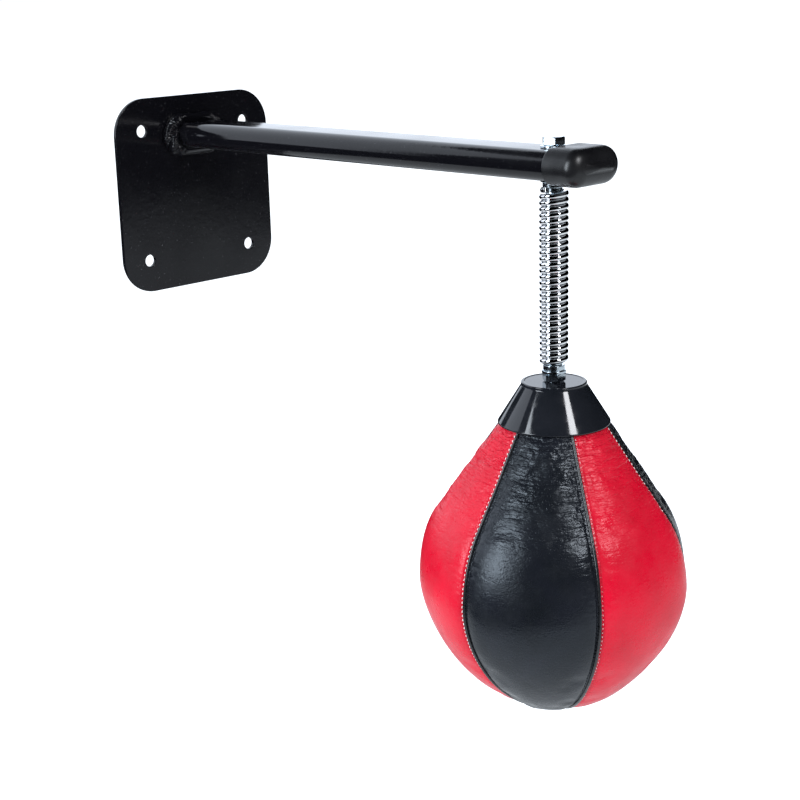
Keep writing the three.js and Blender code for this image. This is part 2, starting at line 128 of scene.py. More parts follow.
# layers of creases: (depth, scale, stretch, seed)
COLLAR_CREASES = ((1.1 * MM, 95, 1.7, 3), (0.5 * MM, 210, 1.4, 11))
UPPER_CREASES = ((0.55 * MM, 60, 2.6, 5), (0.3 * MM, 130, 2.4, 17))
EDGE_CREASES = ((0.7 * MM, 85, 3.0, 29),)

# swellings round the bag: (height, middle in degrees, half width in degrees)
MIDDLE_SWELLINGS = ((2.4 * MM, 288, 13), (1.5 * MM, 130, 20), (-3.2 * MM, 309, 10))
SHOULDER_SWELLINGS = ((2.2 * MM, 134, 13),)

FLOOR_Z = -0.9

# ---- Materials ----


class NodeMaterial:
    """A material whose Principled shader is fed by procedural textures in object space."""

    def __init__(self, name, color, roughness, **shader_values):
        self.material = bpy.data.materials.new(name)
        self.material.use_nodes = True
        self.tree = self.material.node_tree
        self.shader = self.tree.nodes["Principled BSDF"]
        self.coordinates = self.tree.nodes.new("ShaderNodeTexCoord").outputs["Object"]
        self.shader.inputs["Base Color"].default_value = (*color, 1)
        self.shader.inputs["Roughness"].default_value = roughness
        for socket, value in shader_values.items():
            self.shader.inputs[socket.replace("_", " ")].default_value = value
        self.normal = None

    def node(self, kind, inputs=None, **settings):
        """Adds a node. An input is either a value or the socket that feeds it."""
        made = self.tree.nodes.new("ShaderNode" + kind)
        for key, value in settings.items():
            setattr(made, key, value)
        for socket, value in (inputs or {}).items():
            if isinstance(value, bpy.types.NodeSocket):
                self.tree.links.new(value, made.inputs[socket])
            else:
                made.inputs[socket].default_value = value
        return made

    def stretched(self, scale):
        """Object coordinates scaled by axis; a larger Z makes a texture finer up and down."""
        mapping = self.node("Mapping", {"Vector": self.coordinates})
        mapping.inputs["Scale"].default_value = scale
        return mapping.outputs["Vector"]

    def noise(self, scale, detail=4, roughness=0.5, stretch=None):
        vector = self.stretched(stretch) if stretch else self.coordinates
        inputs = {"Vector": vector, "Scale": scale, "Detail": detail, "Roughness": roughness}
        return self.node("TexNoise", inputs).outputs["Fac"]

    def ripples(self, scale, distortion):
        """Wandering bands that run mostly round the hanging axis."""
        inputs = {"Vector": self.coordinates, "Scale": scale, "Distortion": distortion}
        inputs |= {"Detail": 3, "Detail Scale": 1.6}
        return self.node("TexWave", inputs, bands_direction="Z").outputs["Fac"]

    def cells(self, scale):
        return self.node("TexVoronoi", {"Vector": self.coordinates, "Scale": scale}).outputs["Distance"]

    def height_mask(self, low, high):
        """0 below one height and 1 above another."""
        height = self.node("SeparateXYZ", {"Vector": self.coordinates}).outputs["Z"]
        return self.node("MapRange", {"Value": height, "From Min": low, "From Max": high}).outputs["Result"]

    def ramp(self, factor, *stops):
        """A colour ramp through (position, grey or colour) stops."""
        made = self.node("ValToRGB", {"Fac": factor})
        elements = made.color_ramp.elements
        while len(elements) < len(stops):
            elements.new(0.5)
        for element, (position, value) in zip(elements, stops):
            element.position = position
            element.color = (*value, 1) if isinstance(value, tuple) else (value, value, value, 1)
        return made.outputs["Color"]

    def color_from(self, factor, *stops):
        self.tree.links.new(self.ramp(factor, *stops), self.shader.inputs["Base Color"])

    def roughness_from(self, factor, low, high, start=0.35, end=0.65):
        grey = self.ramp(factor, (start, low), (end, high))
        self.tree.links.new(grey, self.shader.inputs["Roughness"])

    def bump(self, height, strength, depth):
        """Adds one layer of bump; depth is the height in metres of a full step of the texture."""
        inputs = {"Height": height, "Strength": strength, "Distance": depth}
        if self.normal:
            inputs["Normal"] = self.normal
        self.normal = self.node("Bump", inputs).outputs["Normal"]
        self.tree.links.new(self.normal, self.shader.inputs["Normal"])


def black_paint():
    """Glossy black paint over steel, with orange peel, dust specks and duller, scuffed patches."""
    made = NodeMaterial("black_paint", (0.002, 0.002, 0.003), 0.12, Specular_IOR_Level=0.33)
    dark, plain, speck = (0.002, 0.002, 0.003), (0.003, 0.003, 0.004), (0.12, 0.12, 0.13)
    made.color_from(made.noise(900, detail=1), (0.0, dark), (0.76, plain), (0.8, speck))
    made.roughness_from(made.noise(14, detail=6), 0.08, 0.17)
    made.bump(made.noise(160, detail=2), 0.2, 0.0002)
    made.bump(made.noise(1400, detail=1), 0.08, 0.00005)
    return made.material


def cap_rubber():
    """Soft moulded vinyl: satin, faintly mottled, with fine moulding texture."""
    made = NodeMaterial("cap_rubber", (0.004, 0.004, 0.005), 0.32, Specular_IOR_Level=0.45)
    made.color_from(made.noise(60, detail=5), (0.3, (0.003, 0.003, 0.004)), (0.7, (0.007, 0.007, 0.008)))
    made.roughness_from(made.noise(40, detail=5), 0.26, 0.38)
    made.bump(made.noise(1500, detail=2), 0.12, 0.0001)
    made.bump(made.noise(70, detail=2), 0.15, 0.0003)
    return made.material


def zinc_plate():
    """Bright zinc with a bluish passivate, brushed round and slightly blotched."""
    made = NodeMaterial("zinc_plate", (0.62, 0.7, 0.76), 0.22, Metallic=1.0)
    made.color_from(made.noise(260, detail=6), (0.3, (0.56, 0.64, 0.7)), (0.7, (0.7, 0.77, 0.82)))
    made.roughness_from(made.noise(500, detail=4, stretch=(1, 1, 6)), 0.12, 0.24)
    made.bump(made.noise(900, detail=3, stretch=(1, 1, 8)), 0.08, 0.00006)
    return made.material


def chrome_wire():
    """Polished chrome over drawn wire, with slight waviness left from the drawing."""
    made = NodeMaterial("chrome_wire", (0.86, 0.87, 0.89), 0.06, Metallic=1.0)
    made.color_from(made.noise(90, detail=3), (0.3, (0.78, 0.79, 0.81)), (0.7, (0.92, 0.93, 0.94)))
    made.roughness_from(made.noise(300, detail=4), 0.04, 0.1)
    made.bump(made.noise(220, detail=2, stretch=(1, 1, 3)), 0.15, 0.0002)
    return made.material


def collar_plastic():
    """High-gloss moulded plastic with faint flow marks down the cone."""
    made = NodeMaterial("collar_plastic", (0.006, 0.007, 0.009), 0.07)
    made.color_from(made.noise(30, detail=3), (0.3, (0.005, 0.006, 0.008)), (0.7, (0.009, 0.01, 0.013)))
    made.roughness_from(made.noise(120, detail=6), 0.05, 0.12)
    made.bump(made.noise(45, detail=1, stretch=(1, 1, 0.2)), 0.1, 0.0003)
    return made.material


def leather(name, dark, light, roughness, tint):
    """Coated leather: pebble grain, creases round the bag under its collar, worn sheen and uneven dye."""
    made = NodeMaterial(name, light, roughness, Specular_IOR_Level=0.4)
    made.shader.inputs["Specular Tint"].default_value = (*tint, 1)
    made.color_from(made.noise(22, detail=8, roughness=0.6), (0.3, dark), (0.7, light))
    made.roughness_from(made.noise(50, detail=7, roughness=0.6), roughness - 0.07, roughness + 0.09)
    near_collar = made.height_mask(COLLAR_FOOT - 0.11, COLLAR_FOOT)
    made.bump(made.ramp(made.ripples(48, distortion=4), (0.0, 0.0), (0.3, 1.0)), near_collar, 0.0005)
    made.bump(made.ramp(made.ripples(110, distortion=6), (0.0, 0.0), (0.35, 1.0)), near_collar, 0.0003)
    made.bump(made.noise(260, detail=5, roughness=0.6, stretch=(1, 1, 1.6)), 0.5, 0.0005)
    made.bump(made.cells(620), 0.3, 0.0003)
    made.bump(made.noise(1500, detail=2), 0.25, 0.00015)
    return made.material


def red_leather():
    dark, light, sheen = (0.4, 0.0002, 0.012), (0.5, 0.0004, 0.017), (1.0, 0.72, 0.76)
    return leather("red_leather", dark, light, 0.3, sheen)


def black_leather():
    dark, light, sheen = (0.004, 0.005, 0.007), (0.008, 0.009, 0.013), (0.85, 0.93, 1.0)
    return leather("black_leather", dark, light, 0.27, sheen)


def piping_leather():
    """Thin rolled leather over a cord: glossier than the panels and finely pinched."""
    made = NodeMaterial("piping_leather", (0.008, 0.008, 0.009), 0.26, Coat_Weight=0.3)
    made.color_from(made.noise(120, detail=4), (0.3, (0.006, 0.006, 0.007)), (0.7, (0.014, 0.014, 0.016)))
    made.roughness_from(made.noise(200, detail=4), 0.2, 0.36)
    made.bump(made.noise(700, detail=3), 0.25, 0.0002)
    return made.material


def bladder_rubber():
    """Dull latex with talc left on it."""
    made = NodeMaterial("bladder_rubber", (0.05, 0.03, 0.022), 0.62)
    made.color_from(made.noise(45, detail=8), (0.35, (0.045, 0.028, 0.02)), (0.75, (0.1, 0.075, 0.06)))
    made.roughness_from(made.noise(80, detail=5), 0.52, 0.74)
    made.bump(made.noise(400, detail=4), 0.2, 0.0003)
    return made.material


def thread():
    """White bonded thread, twisted."""
    made = NodeMaterial("stitch_thread", (0.9, 0.86, 0.85), 0.5)
    made.color_from(made.noise(700, detail=3), (0.3, (0.8, 0.74, 0.73)), (0.7, (0.95, 0.93, 0.92)))
    made.roughness_from(made.noise(900, detail=2), 0.42, 0.6)
    made.bump(made.noise(1800, detail=2, stretch=(1, 1, 3)), 0.3, 0.0002)
    return made.material


MATERIALS = {
    "black_paint": black_paint(),
    "cap_rubber": cap_rubber(),
    "zinc_plate": zinc_plate(),
    "chrome_wire": chrome_wire(),
    "collar_plastic": collar_plastic(),
    "red_leather": red_leather(),
    "black_leather": black_leather(),
    "piping_leather": piping_leather(),
    "bladder_rubber": bladder_rubber(),
    "stitch_thread": thread(),
}

# ---- Mesh helpers ----


def new_piece(name, vertices, faces, material, smooth_angle=40):
    """A mesh object with smooth shading, and sharp edges only where faces meet at more than smooth_angle."""
    mesh = bpy.data.meshes.new(name)
    mesh.from_pydata([tuple(v) for v in vertices], [], faces)
    mesh.validate()
    mesh.shade_smooth()
    mesh.set_sharp_from_angle(angle=math.radians(smooth_angle))
    mesh.materials.append(MATERIALS[material])
    made = bpy.data.objects.new(name, mesh)
    bpy.context.scene.collection.objects.link(made)
    return made


def grid_faces(rows, columns, wrap_rows=False):
    """Quads over a grid of points stored row by row, whose rows are closed rings."""
    faces = []
    for i in range(rows if wrap_rows else rows - 1):
        for j in range(columns):
            across = (j + 1) % columns
            down = (i + 1) % rows
            faces.append((i * columns + j, i * columns + across, down * columns + across, down * columns + j))
    return faces


def tube_faces(rings, sides, closed_path=False):
    """The faces of a skin over rings of points, with its ends filled unless the path is a loop."""
    faces = grid_faces(rings, sides, wrap_rows=closed_path)
    if not closed_path:
        faces.append(tuple(range(sides))[::-1])
        faces.append(tuple((rings - 1) * sides + j for j in range(sides)))
    return faces


def tube_piece(name, rings, material, closed_path=False, **options):
    """A skin over rings of points."""
    faces = tube_faces(len(rings), len(rings[0]), closed_path)
    return new_piece(name, [point for ring in rings for point in ring], faces, material, **options)


def turned_piece(name, profile, material, segments=96, **options):
    """A solid turned about the hanging axis from a closed profile of (radius, z) points."""
    rings = []
    for k in range(segments):
        turn = TAU * k / segments
        rings.append([AXIS + Vector((r * math.cos(turn), r * math.sin(turn), z)) for r, z in profile])
    faces = grid_faces(segments, len(profile), wrap_rows=True)
    vertices = [point for ring in rings for point in ring]
    piece = new_piece(name, vertices, faces, material, **options)
    weld_doubles(piece)
    flatten_shading(piece)
    return piece


def weld_doubles(piece, distance=1e-6):
    """Joins vertices that share a place, and turns every face outwards."""
    mesh = bmesh.new()
    mesh.from_mesh(piece.data)
    bmesh.ops.remove_doubles(mesh, verts=mesh.verts, dist=distance)
    bmesh.ops.dissolve_degenerate(mesh, edges=mesh.edges, dist=distance)
    bmesh.ops.recalc_face_normals(mesh, faces=mesh.faces)
    mesh.to_mesh(piece.data)
    mesh.free()


def rounded_profile(corners, radius, steps=5):
    """A closed profile whose corners are rounded, as a list of (r, z) points."""
    points = []
    count = len(corners)
    for i, corner in enumerate(corners):
        here = Vector(corner)
        before = Vector(corners[i - 1]) - here
        after = Vector(corners[(i + 1) % count]) - here
        reach = min(radius, before.length * 0.45, after.length * 0.45)
        start = here + before.normalized() * reach
        end = here + after.normalized() * reach
        for k in range(steps + 1):
            t = k / steps
            points.append(tuple(start * (1 - t) ** 2 + here * 2 * t * (1 - t) + end * t**2))
    return points


def flatten_shading(piece):
    """Keeps wide flat faces flat in shading, next to narrow rounded edges."""
    modifier = piece.modifiers.new("flat_faces", "WEIGHTED_NORMAL")
    modifier.weight = 100  # the largest faces alone set a corner's normal
    modifier.keep_sharp = True


def declare(piece, body, slot, *nodes):
    """Fixes a piece to a body and hides the CAD nodes it stands for; the slot argument is not used."""
    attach(piece, body)
    if nodes:
        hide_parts(*nodes)


def smoothstep(value, start, end):
    """0 before the start and 1 after the end, with a soft ramp between them."""
    t = min(max((value - start) / (end - start), 0), 1)
    return t * t * (3 - 2 * t)


def band(value, start, full, fading, end):
    """0 outside a range and 1 inside it, with a soft ramp at either side."""
    return smoothstep(value, start, full) * (1 - smoothstep(value, fading, end))


# ---- Wall plate, weld, arm and end cap ----


def rounded_square(half, corner_radius, steps=24):
    """Points round a square with rounded corners, anticlockwise."""
    points = []
    for quarter in range(4):
        turn = quarter * math.pi / 2
        sign_x = math.copysign(1, math.cos(turn + math.pi / 4))
        sign_z = math.copysign(1, math.sin(turn + math.pi / 4))
        centre = Vector((sign_x, sign_z)) * (half - corner_radius)
        for k in range(steps + 1):
            angle = turn + math.pi / 2 * k / steps
            points.append(centre + corner_radius * Vector((math.cos(angle), math.sin(angle))))
    return points


def circle(centre, radius, steps=48):
    """Points round a circle, clockwise, so that it cuts a hole."""
    turns = np.linspace(0, TAU, steps, False)
    return [centre + radius * Vector((math.cos(turn), -math.sin(turn))) for turn in turns]


def add_spline(curve, points):
    spline = curve.splines.new("POLY")
    spline.points.add(len(points) - 1)
    for target, point in zip(spline.points, points):
        target.co = (point.x, point.y, 0, 1)
    spline.use_cyclic_u = True


def mesh_of(curve):
    """The filled and bevelled mesh of a curve."""
    source = bpy.data.objects.new("wall_plate_outline", curve)
    bpy.context.scene.collection.objects.link(source)
    bpy.context.view_layer.update()
    mesh = bpy.data.meshes.new_from_object(source.evaluated_get(bpy.context.evaluated_depsgraph_get()))
    bpy.data.objects.remove(source)
    return mesh


def wall_plate():
    """A sheared and drilled steel plate, its edges rolled slightly by the paint."""
    corner_radius, edge_radius = 37 * MM, 0.8 * MM
    hole_spacing, hole_radius = 134 * MM, 6.25 * MM
    thickness = plate_high.y - plate_low.y
    curve = bpy.data.curves.new("wall_plate_outline", "CURVE")
    curve.dimensions = "2D"
    curve.fill_mode = "BOTH"
    curve.extrude = thickness / 2 - edge_radius
    curve.bevel_depth = edge_radius
    curve.bevel_resolution = 3
    curve.offset = -edge_radius
    add_spline(curve, rounded_square(plate_high.x, corner_radius))
    for x in (-1, 1):
        for z in (-1, 1):
            add_spline(curve, circle(Vector((x, z)) * hole_spacing / 2, hole_radius))
    mesh = mesh_of(curve)
    middle = Matrix.Translation((0, (plate_low.y + plate_high.y) / 2, 0))
    mesh.transform(middle @ Matrix.Rotation(math.pi / 2, 4, "X"))
    mesh.materials.clear()
    mesh.materials.append(MATERIALS["black_paint"])
    mesh.shade_smooth()
    mesh.set_sharp_from_angle(angle=math.radians(35))
    piece = bpy.data.objects.new("wall_plate_painted", mesh)
    bpy.context.scene.collection.objects.link(piece)
    weld_doubles(piece)
    flatten_shading(piece)
    declare(piece, "bracket", "black_paint", "wall_plate")


def oval_ring(width, height, y, steps=40):
    """Points around a flat-oval section standing across the arm."""
    radius = height / 2
    straight = width / 2 - radius
    ring = []
    for side, start in ((1, -math.pi / 2), (-1, math.pi / 2)):
        for k in range(steps + 1):
            angle = start + math.pi * k / steps
            x = side * straight + radius * math.cos(angle)
            ring.append(Vector((x, y, ARM_Z + radius * math.sin(angle))))
    return ring


def arm_tube():
    """The welded flat-oval tube, hollow, with its ends' edges rounded by the paint."""
    wall, edge = 2.5 * MM, 0.4 * MM
    width, height = tube_high.x - tube_low.x, tube_high.z - tube_low.z
    outside = [oval_ring(width, height, y) for y in np.linspace(tube_high.y - edge, tube_low.y + edge, 60)]
    ends = [(tube_low.y, edge), (tube_low.y, wall - edge), (tube_low.y + edge, wall)]
    starts = [(tube_high.y - edge, wall), (tube_high.y, wall - edge), (tube_high.y, edge)]
    lips = [oval_ring(width - 2 * inset, height - 2 * inset, y) for y, inset in ends + starts]
    piece = tube_piece("arm_tube_painted", outside + lips, "black_paint", closed_path=True, smooth_angle=60)
    weld_doubles(piece)
    declare(piece, "bracket", "black_paint", "arm_tube")


def weld_bead():
    """A hand-laid fillet weld under paint: overlapping ripples, uneven width, and a lumpy start at -X."""
    foot = oval_ring(tube_high.x - tube_low.x, tube_high.z - tube_low.z, plate_low.y, steps=150)
    rings = [weld_ring(point, TAU * i / len(foot)) for i, point in enumerate(foot)]
    piece = tube_piece("arm_weld_rippled", rings, "black_paint", closed_path=True, smooth_angle=70)
    weld_doubles(piece)
    declare(piece, "bracket", "black_paint", "arm_weld_bead")


def weld_ring(point, turn):
    """The weld's section at a point of the tube's foot: a convex face, then back under it to the tube."""
    steps, ripples, leg = 22, 46, 9.5 * MM
    straight = max(abs(point.x) - (tube_high.x - (tube_high.z - tube_low.z) / 2), 0)
    outward = Vector((math.copysign(straight, point.x), 0, point.z - ARM_Z)).normalized()
    start_side = max(0, -point.x / tube_high.x) ** 3
    uneven = noise.noise(point * 90) * 0.25 + noise.noise(point * 260) * 0.12
    size = leg * (1 + uneven) + 4 * MM * start_side
    ripple_height = (0.55 + 0.4 * noise.noise(point * 120)) * MM
    ring = []
    for k in range(steps + 1):
        t = k / steps
        angle = t * math.pi / 2
        middle = math.sin(math.pi * t)
        bulge = 0.82 + 0.18 * math.sin(2 * angle)
        rhythm = ripples * turn + 2.2 * middle + 3 * noise.noise(point * 60)
        lump = noise.noise(point * 170 + Vector((0, 0, t * 3))) * 4.5 * MM * start_side
        lump += noise.noise(point * 300 + Vector((t * 3, 0, 0))) * 1.2 * MM
        reach = size * bulge + math.sin(rhythm) * ripple_height * middle + lump * middle
        outwards, away = reach * math.sin(angle), reach * math.cos(angle)
        ring.append(point + outward * outwards + Vector((0, -away, 0)))
    ring.append(point + outward * 0.2 * MM)
    return ring


def end_cap():
    """A dipped vinyl cap: a stretched sleeve with a soft lip, and a rounded, slightly crowned end."""
    wall, edge_radius, dome, slack_fit, lip = 3 * MM, 12 * MM, 3.5 * MM, 0.6 * MM, 1 * MM
    width, height = cap_high.x - cap_low.x, cap_high.z - cap_low.z
    lip_y, shoulder_y = cap_high.y - lip, cap_low.y + edge_radius + 4 * MM
    floor_y = tube_low.y - 0.3 * MM
    bore_width = tube_high.x - tube_low.x + slack_fit
    bore_height = tube_high.z - tube_low.z + slack_fit
    bore_ys = [floor_y, *np.linspace(tube_low.y, lip_y, 6)]
    rings = [oval_ring(bore_width * 0.5, bore_height * 0.5, floor_y)]
    rings += [oval_ring(bore_width, bore_height, y) for y in bore_ys]
    for k in range(9):
        angle = math.pi * k / 8
        inset = wall * (1 + math.cos(angle))
        rings.append(oval_ring(width - inset, height - inset, lip_y + lip * math.sin(angle)))
    rings += [oval_ring(width, height, y) for y in np.linspace(lip_y - lip, shoulder_y, 14)]
    for k in range(1, 17):
        angle = math.pi / 2 * k / 16
        inset = 2 * edge_radius * (1 - math.cos(angle))
        rings.append(oval_ring(width - inset, height - inset, shoulder_y - edge_radius * math.sin(angle)))
    face_width, face_height = width - 2 * edge_radius, height - 2 * edge_radius
    for k in range(1, 9):
        t = k / 8
        shrink = 1 - 0.97 * t
        y = shoulder_y - edge_radius - dome * (1 - (1 - t) ** 2)
        rings.append(oval_ring(face_width * shrink + 0.4 * MM, face_height * shrink, y))
    piece = tube_piece("arm_end_cap_moulded", rings, "cap_rubber", smooth_angle=80)
    weld_doubles(piece)
    declare(piece, "bracket", "cap_rubber", "arm_end_cap")


# ---- Bolt, washers, plugs and nut ----


def hex_corner_turn(node):
    """The turn of a CAD hexagon about the hanging axis, read from its farthest corner."""
    points = [v.co - AXIS for v in frame["nodes"][node].data.vertices]
    corner = max(points, key=lambda p: (round(p.x * p.x + p.y * p.y, 9), -p.x))
    return math.atan2(corner.y, corner.x)


def hexagon_rings(across_flats, top, bottom, turn, steps=16):
    """Rings of a hexagon whose top and bottom corners are turned off by a 30 degree cone."""
    flat = across_flats / 2
    corner = flat / math.cos(math.pi / 6)
    count = 6 * steps
    angles = [turn + TAU * k / count for k in range(count)]
    reach = [flat / math.cos((a - turn) % (math.pi / 3) - math.pi / 6) for a in angles]
    slope = math.tan(math.radians(30))
    edge = flat * 0.97
    chamfer = [edge + (corner - edge) * k / 5 for k in range(1, 6)]
    rings = []

    def ring(limit, z):
        rings.append([AXIS + Vector((r * math.cos(a), r * math.sin(a), z)) for a, r in zip(angles, limit)])

    ring([edge * 0.55] * count, bottom)
    ring([edge] * count, bottom)
    for radius in chamfer:
        ring([min(r, radius) for r in reach], bottom + (radius - edge) * slope)
    for radius in chamfer[::-1]:
        ring([min(r, radius) for r in reach], top - (radius - edge) * slope)
    ring([edge] * count, top)
    ring([edge * 0.55] * count, top)
    return rings


def hexagon_piece(name, node, height, body):
    """A bolt head or nut that hangs down from the top of its CAD node."""
    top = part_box(node)[1].z
    rings = hexagon_rings(ACROSS_FLATS, top, top - height, hex_corner_turn(node))
    piece = tube_piece(name, rings, "zinc_plate", smooth_angle=22)
    declare(piece, body, "zinc_plate", node)


def washer_piece(name, node, body):
    """A stamped washer with rounded edges."""
    low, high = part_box(node)
    radius = (high.x - low.x) / 2
    corners = [(BORE, low.z), (radius, low.z), (radius, high.z), (BORE, high.z)]
    piece = turned_piece(name, rounded_profile(corners, 0.45 * MM), "zinc_plate", smooth_angle=50)
    declare(piece, body, "zinc_plate", node)


def upper_plug():
    """The plug in the spring's top turns, with its boss against the arm's lower washer."""
    low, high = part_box("upper_spring_plug")
    boss, shank = 9.6 * MM, 7.1 * MM
    shoulder = high.z - 4.2 * MM
    corners = [(BORE, low.z), (shank, low.z), (shank, shoulder)]
    corners += [(boss, shoulder), (boss, high.z), (BORE, high.z)]
    profile = rounded_profile(corners, 0.5 * MM)
    piece = turned_piece("upper_spring_plug_turned", profile, "zinc_plate", smooth_angle=50)
    declare(piece, "bracket", "zinc_plate", "upper_spring_plug")


def lower_plug():
    """The plug in the spring's bottom turns, with its boss on the collar's nut."""
    low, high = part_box("lower_spring_plug")
    boss, shank = (high.x - low.x) / 2, 7 * MM
    shoulder = low.z + 4.4 * MM
    corners = [(BORE, low.z), (boss, low.z), (boss, shoulder)]
    corners += [(shank, shoulder), (shank, high.z), (BORE, high.z)]
    profile = rounded_profile(corners, 0.5 * MM)
    piece = turned_piece("lower_spring_plug_turned", profile, "zinc_plate", smooth_angle=50)
    declare(piece, "bag", "zinc_plate", "lower_spring_plug")


def fasteners():
    hexagon_piece("hanger_bolt_head", "hanger_bolt", 7 * MM, "bracket")
    washer_piece("hanger_top_washer_stamped", "hanger_top_washer", "bracket")
    washer_piece("hanger_lower_washer_stamped", "hanger_lower_washer", "bracket")
    upper_plug()
    lower_plug()
    washer_piece("collar_top_washer_stamped", "collar_top_washer", "bag")
    nut_low, nut_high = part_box("collar_nut")
    hexagon_piece("collar_nut_chamfered", "collar_nut", nut_high.z - nut_low.z, "bag")


# ---- Spring ----


def wire_point(z):
    """The middle of the wire at a height; it faces +X at the top of the CAD's spring."""
    turn = (z - SPRING_TOP) / PITCH * TAU
    return AXIS + Vector((COIL_RADIUS * math.cos(turn), COIL_RADIUS * math.sin(turn), z))


def wire_piece(name, top, bottom):
    """A length of the coiled wire between two heights."""
    steps_per_turn, sides, nudge = 40, 16, 0.01 * MM
    steps = max(2, round((top - bottom) / PITCH * steps_per_turn))
    rings = []
    for i in range(steps + 1):
        z = top + (bottom - top) * i / steps
        centre = wire_point(z)
        out = Vector((centre.x - AXIS.x, centre.y - AXIS.y, 0)).normalized()
        along = (wire_point(z - nudge) - wire_point(z + nudge)).normalized()
        up = out.cross(along)
        turns = [TAU * k / sides for k in range(sides)]
        rings.append([centre + WIRE_RADIUS * (out * math.cos(a) + up * math.sin(a)) for a in turns])
    piece = tube_piece(name, rings, "chrome_wire", smooth_angle=60)
    weld_doubles(piece)
    return piece


def spring():
    """One wire in eight lengths, from the middle of one coil body to the next, and a foot."""
    hinges = [j for j in frame["joints"] if j["name"].startswith("swing")]
    hinges.sort(key=lambda j: -j["pos_m"][2])
    heights = [j["pos_m"][2] for j in hinges]
    middles = [(a + b) / 2 for a, b in zip(heights, heights[1:])]
    spacing = heights[0] - heights[1]
    foot_middle = heights[-1] - spacing / 2
    rise = 1.6 * MM  # the first turn climbs a little way up the plug's boss
    wire_top, wire_bottom = SPRING_TOP + rise, SPRING_FOOT + WIRE_RADIUS
    cuts = [wire_top, *middles, foot_middle]
    cad_lengths = ["spring_top_coils"] + [f"spring_coils_{i}" for i in range(1, 8)]
    for i, hinge in enumerate(hinges):
        piece = wire_piece(f"spring_wire_{i + 1}", cuts[i], cuts[i + 1])
        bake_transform(piece)
        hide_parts(cad_lengths[i])
    foot = wire_piece("spring_wire_foot", foot_middle, wire_bottom)
    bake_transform(foot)
    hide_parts("spring_bottom_coils")


# ---- Collar ----


def bag_collar():
    """A moulded hollow cone with a proud rim round its disc and a rounded foot."""
    top, foot = collar_high.z, COLLAR_FOOT
    wall, disc = 2.5 * MM, 3 * MM
    foot_radius, top_radius = COLLAR_FOOT_RADIUS, 28.4 * MM
    rim = 0.5 * MM
    corners = [
        (BORE, top - 0.4 * MM),
        (BORE, top - disc),
        (top_radius - wall + 1.5 * MM, top - disc),
        (foot_radius - wall, foot + 0.3 * MM),
        (foot_radius - wall * 0.6, foot),
        (foot_radius - 0.2 * MM, foot),
        (foot_radius, foot + 1.2 * MM),
        (top_radius + 0.6 * MM, top - 3.0 * MM),
        (top_radius + rim, top - 2.2 * MM),
        (top_radius + rim, top - 0.5 * MM),
        (top_radius - 0.4 * MM, top),
        (top_radius - 2.2 * MM, top),
        (top_radius - 2.6 * MM, top - 0.4 * MM),
    ]
    profile = rounded_profile(corners, 0.5 * MM, 4)
    piece = turned_piece("bag_collar_moulded", profile, "collar_plastic", segments=160, smooth_angle=35)
    declare(piece, "bag", "collar_plastic", "bag_collar")


# ---- Bag ----


def cone_radius(z):
    """The radius of the cone between the collar and the round part."""
    return BAG_RADIUS * math.cos(SHOULDER) - (z - SHOULDER_Z) * math.tan(SHOULDER)


def bag_profile():
    """Evenly spaced (radius, z) points: neck inside the collar, cone, round part, tip."""
    neck = (COLLAR_FOOT_RADIUS - 3.9 * MM, COLLAR_FOOT + 0.5 * MM)
    below = COLLAR_FOOT - 3 * MM
    points = [(13 * MM, BAG_TOP), (27 * MM, BAG_TOP), (29 * MM, BAG_TOP - 3 * MM), neck]
    heights = [below + (SHOULDER_Z - below) * k / 12 for k in range(13)]
    points += [(cone_radius(z), z) for z in heights]
    for k in range(1, 31):
        angle = SHOULDER * (1 - k / 30)
        points.append((BAG_RADIUS * math.cos(angle), BAG_CENTRE + BAG_RADIUS * math.sin(angle)))
    for k in range(1, 121):
        angle = math.pi / 2 * k / 120
        radius = BAG_RADIUS * max(math.cos(angle), 0) ** (2 / TIP_POWER)
        drop = (BAG_CENTRE - BAG_TIP) * math.sin(angle) ** (2 / TIP_POWER)
        points.append((max(radius, 0.25 * MM), BAG_CENTRE - drop))
    return resample(np.array(points), ROWS)


def resample(points, count):
    """Points at even steps along a line through the given ones."""
    lengths = np.concatenate([[0], np.cumsum(np.hypot(*np.diff(points, axis=0).T))])
    wanted = np.linspace(0, lengths[-1], count)
    return np.stack([np.interp(wanted, lengths, points[:, k]) for k in (0, 1)], axis=1)


def row_spacing(profile):
    """The distance from one profile row to the next."""
    return float(np.hypot(*(profile[1] - profile[0])))


def surface_point(profile, row, angle):
    """The point and outward normal of the unwrinkled bag at a profile row and an angle."""
    radius, z = profile[row]
    slope = Vector(profile[min(row + 1, ROWS - 1)] - profile[max(row - 1, 0)]).normalized()
    ray = Vector((math.cos(angle), math.sin(angle), 0))
    return AXIS + ray * radius + Vector((0, 0, z)), ray * -slope.y + Vector((0, 0, slope.x))


